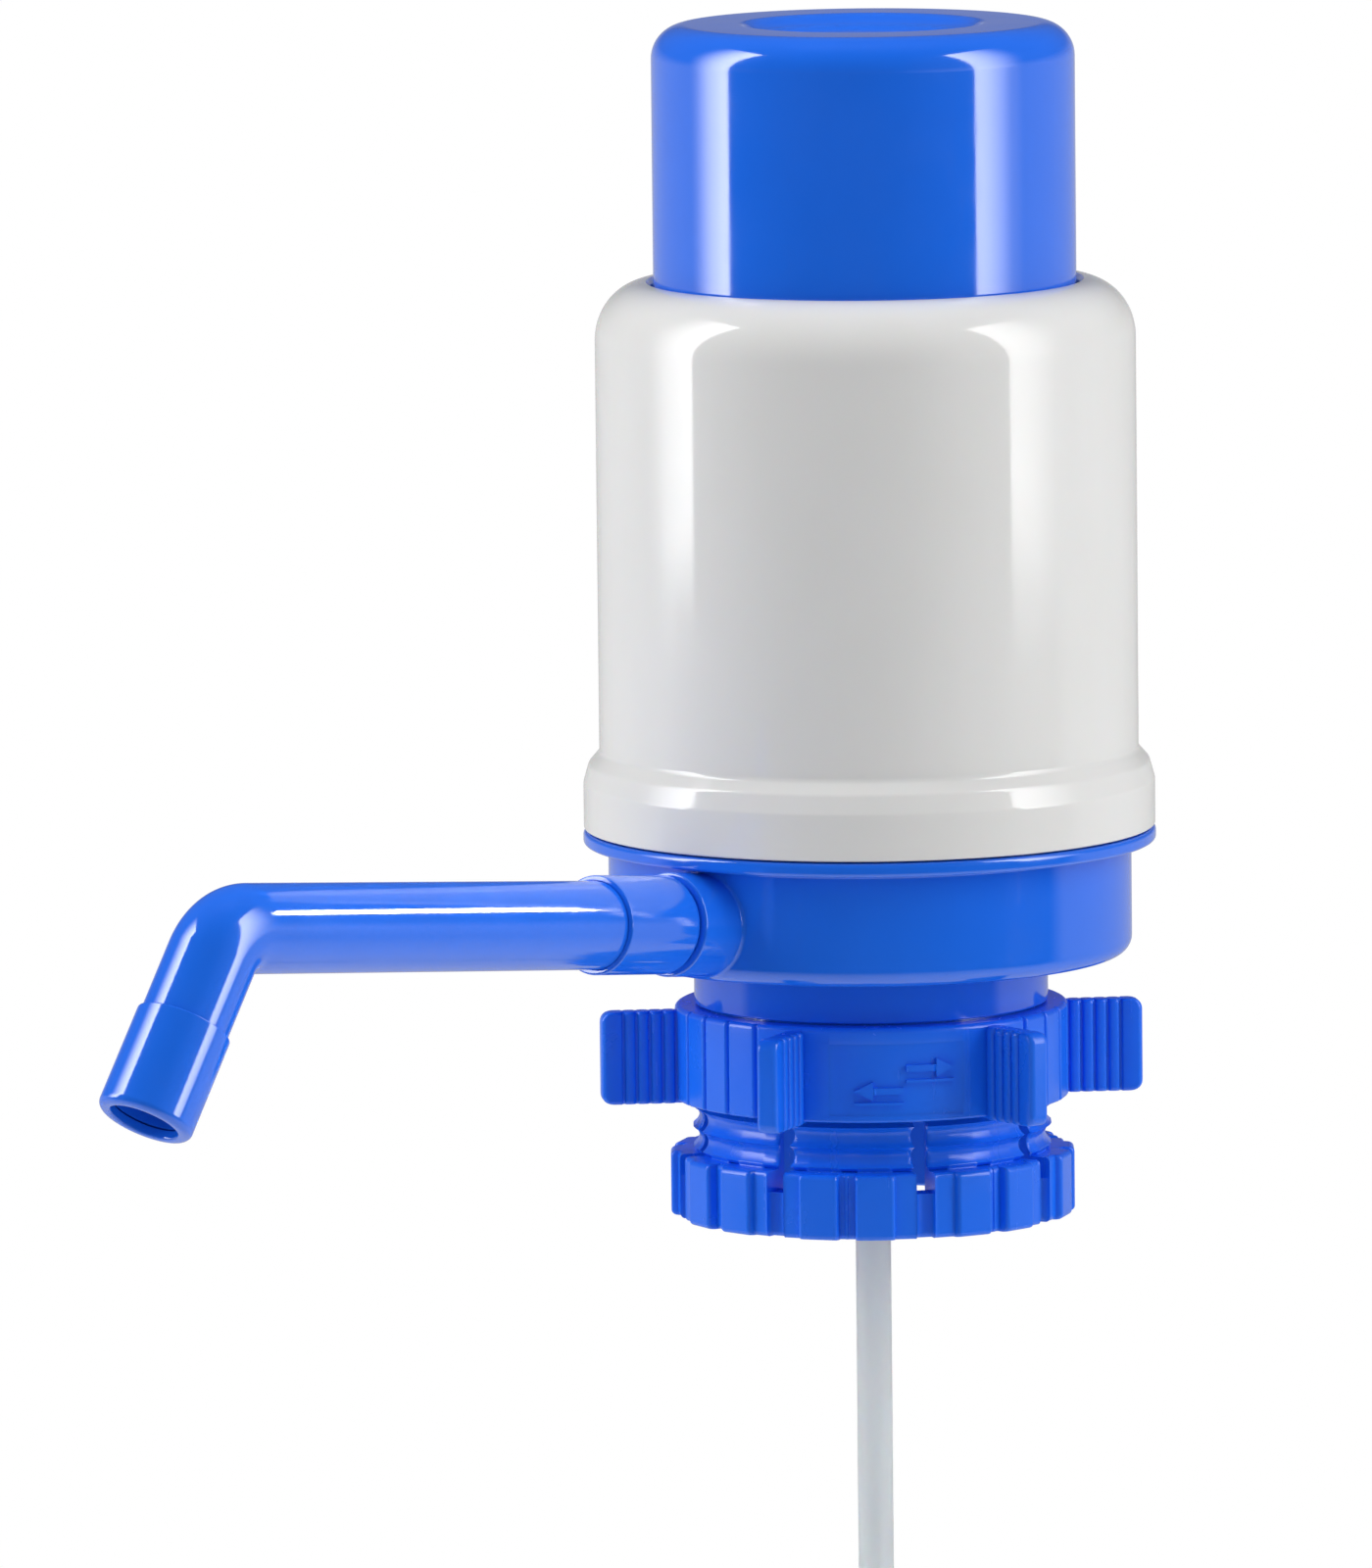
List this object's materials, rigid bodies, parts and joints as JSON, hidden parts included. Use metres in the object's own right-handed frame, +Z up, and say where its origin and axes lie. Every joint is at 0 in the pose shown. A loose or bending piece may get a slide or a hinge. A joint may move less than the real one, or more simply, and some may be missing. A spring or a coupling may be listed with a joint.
{
  "type": "bottle hand pump",
  "caption": "Manual press pump for a large water bottle: cap over bellows in a white housing, bent spout, winged neck clamp, slotted collet and long dip tube.",
  "frame": {"origin": "on the pump's axis, in the plane where the bottle's mouth meets the neck gasket", "axes": "+Z up along the pump's axis towards the press cap, spout towards -Y"},
  "size_m": [0.0974, 0.2388, 0.6208],
  "materials": {
    "blue_gloss": "gloss moulded blue",
    "blue_satin": "satin moulded blue",
    "white_gloss": "gloss moulded white",
    "milky_plastic": "translucent natural",
    "grey_plastic": "satin grey",
    "seal_rubber": "soft pale silicone",
    "steel": "stainless"
  },
  "bodies": {
    "pump_body": {"pump_base": "blue_gloss", "upper_housing": "white_gloss", "bellows": "milky_plastic", "return_spring": "steel", "bellows_retainer": "grey_plastic", "retainer_screw_1": "steel", "retainer_screw_2": "steel", "retainer_screw_3": "steel", "inlet_valve_cage": "grey_plastic", "flap_pin": "steel", "neck_gasket": "seal_rubber", "dip_tube_upper": "milky_plastic", "dip_tube_middle": "milky_plastic", "dip_tube_lower": "milky_plastic", "tube_joiner_upper": "milky_plastic", "tube_joiner_lower": "milky_plastic", "tube_foot": "blue_satin"},
    "plunger": {"press_cap": "blue_gloss", "spring_seat": "grey_plastic"},
    "spout": {"spout_collar": "blue_gloss", "spout_tube": "blue_gloss", "nozzle_sleeve": "blue_gloss", "collar_oring": "seal_rubber"},
    "ring": {"clamp_ring": "blue_satin"},
    "grip": {"collet": "blue_satin"},
    "inlet_valve": {"inlet_poppet": "seal_rubber"},
    "outlet_valve": {"outlet_flap": "seal_rubber"}
  },
  "joints": [
    {"name": "cap_press", "type": "slide", "parent": "pump_body", "child": "plunger", "axis": [0, 0, -1], "range_m": [0, 0.036], "stiffness_N_per_m": 400, "springref_m": -0.012, "deforming": ["bellows", "return_spring"]},
    {"name": "spout_swivel", "type": "hinge", "parent": "pump_body", "child": "spout", "pos_m": [0, -0.0535, 0.01702], "axis": [0, -0.9945, 0.1045], "range_deg": [-90, 90]},
    {"name": "clamp_ring_turn", "type": "hinge", "parent": "pump_body", "child": "ring", "pos_m": [0, 0, -0.01], "axis": [0, 0, -1], "range_deg": [0, 510]},
    {"name": "collet_draw", "type": "slide", "parent": "pump_body", "child": "grip", "axis": [0, 0, 1], "range_m": [0, 0.005]},
    {"name": "inlet_valve_lift", "type": "slide", "parent": "pump_body", "child": "inlet_valve", "axis": [0, 0, 1], "range_m": [0, 0.002]},
    {"name": "outlet_flap_swing", "type": "hinge", "parent": "pump_body", "child": "outlet_valve", "pos_m": [0, -0.04662, 0.02082], "axis": [-1, 0, 0], "range_deg": [0, 30]}
  ],
  "couplings": [
    {"joint": "collet_draw", "follows": "clamp_ring_turn", "m_per_rad": 0.00055704}
  ]
}
